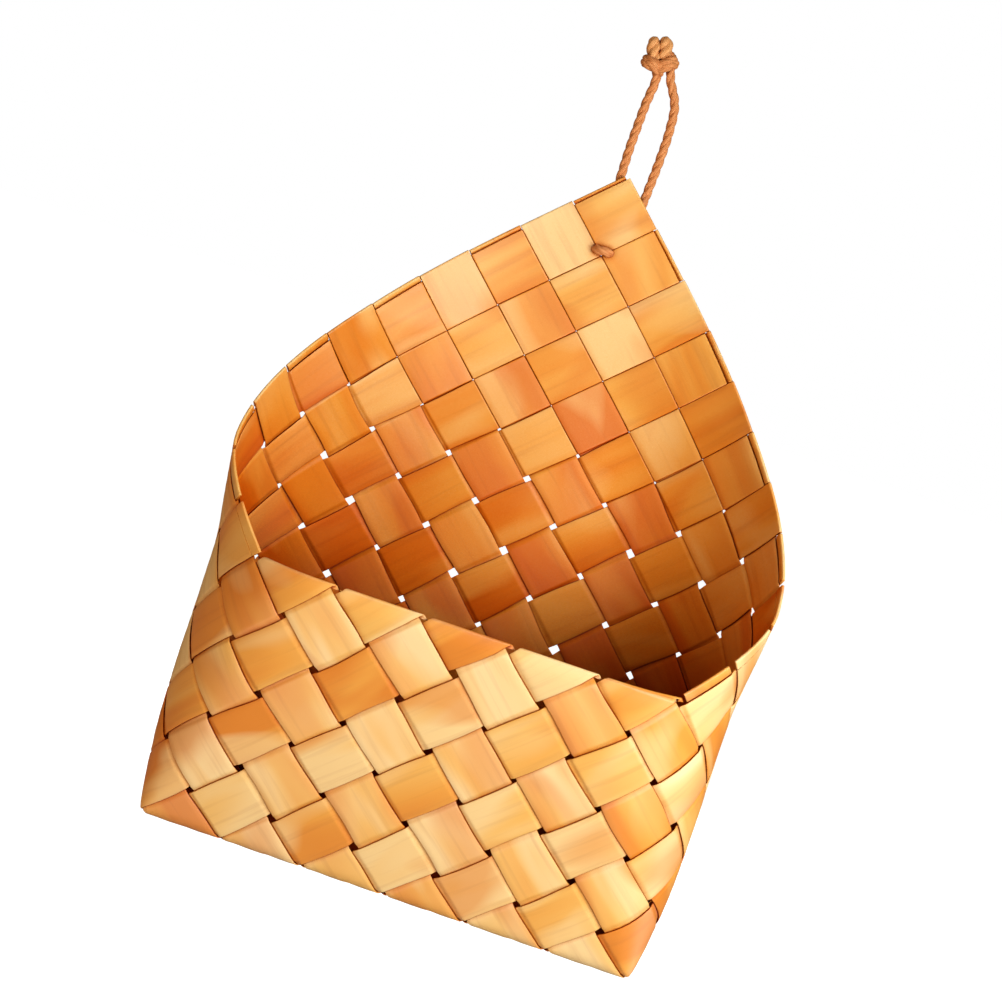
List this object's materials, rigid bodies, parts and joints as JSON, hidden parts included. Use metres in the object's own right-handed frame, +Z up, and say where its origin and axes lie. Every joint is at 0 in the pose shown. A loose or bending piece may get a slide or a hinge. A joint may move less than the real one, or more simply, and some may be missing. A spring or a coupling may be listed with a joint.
{
  "type": "wall basket",
  "caption": "Woven wood-splint wall basket: a flat-based pocket with a folded front rim, a high pointed back and a knotted cord loop to hang it by.",
  "frame": {"origin": "on the wall plane behind the back, level with the nail that holds the cord loop", "axes": "+Z up, +Y out of the back towards the wall, +X to the right as seen from the front"},
  "size_m": [0.199, 0.1039, 0.3253],
  "materials": {
    "splint": "satin",
    "cord": "twisted cord"
  },
  "bodies": {
    "basket": {"right_splint_1": "splint", "right_splint_2": "splint", "right_splint_3": "splint", "right_splint_4": "splint", "right_splint_5": "splint", "right_splint_6": "splint", "right_splint_7": "splint", "right_splint_8": "splint", "left_splint_1": "splint", "left_splint_2": "splint", "left_splint_3": "splint", "left_splint_4": "splint", "left_splint_5": "splint", "left_splint_6": "splint", "left_splint_7": "splint", "left_splint_8": "splint", "cord_stitch": "cord"},
    "hang_loop": {"cord_left_leg": "cord", "cord_right_leg": "cord", "cord_knot": "cord"}
  },
  "joints": [
    {"name": "hang_loop_swing", "type": "hinge", "parent": "basket", "child": "hang_loop", "pos_m": [0, 0.0019, -0.063], "axis": [-1, 0, 0], "range_deg": [0, 170]}
  ]
}
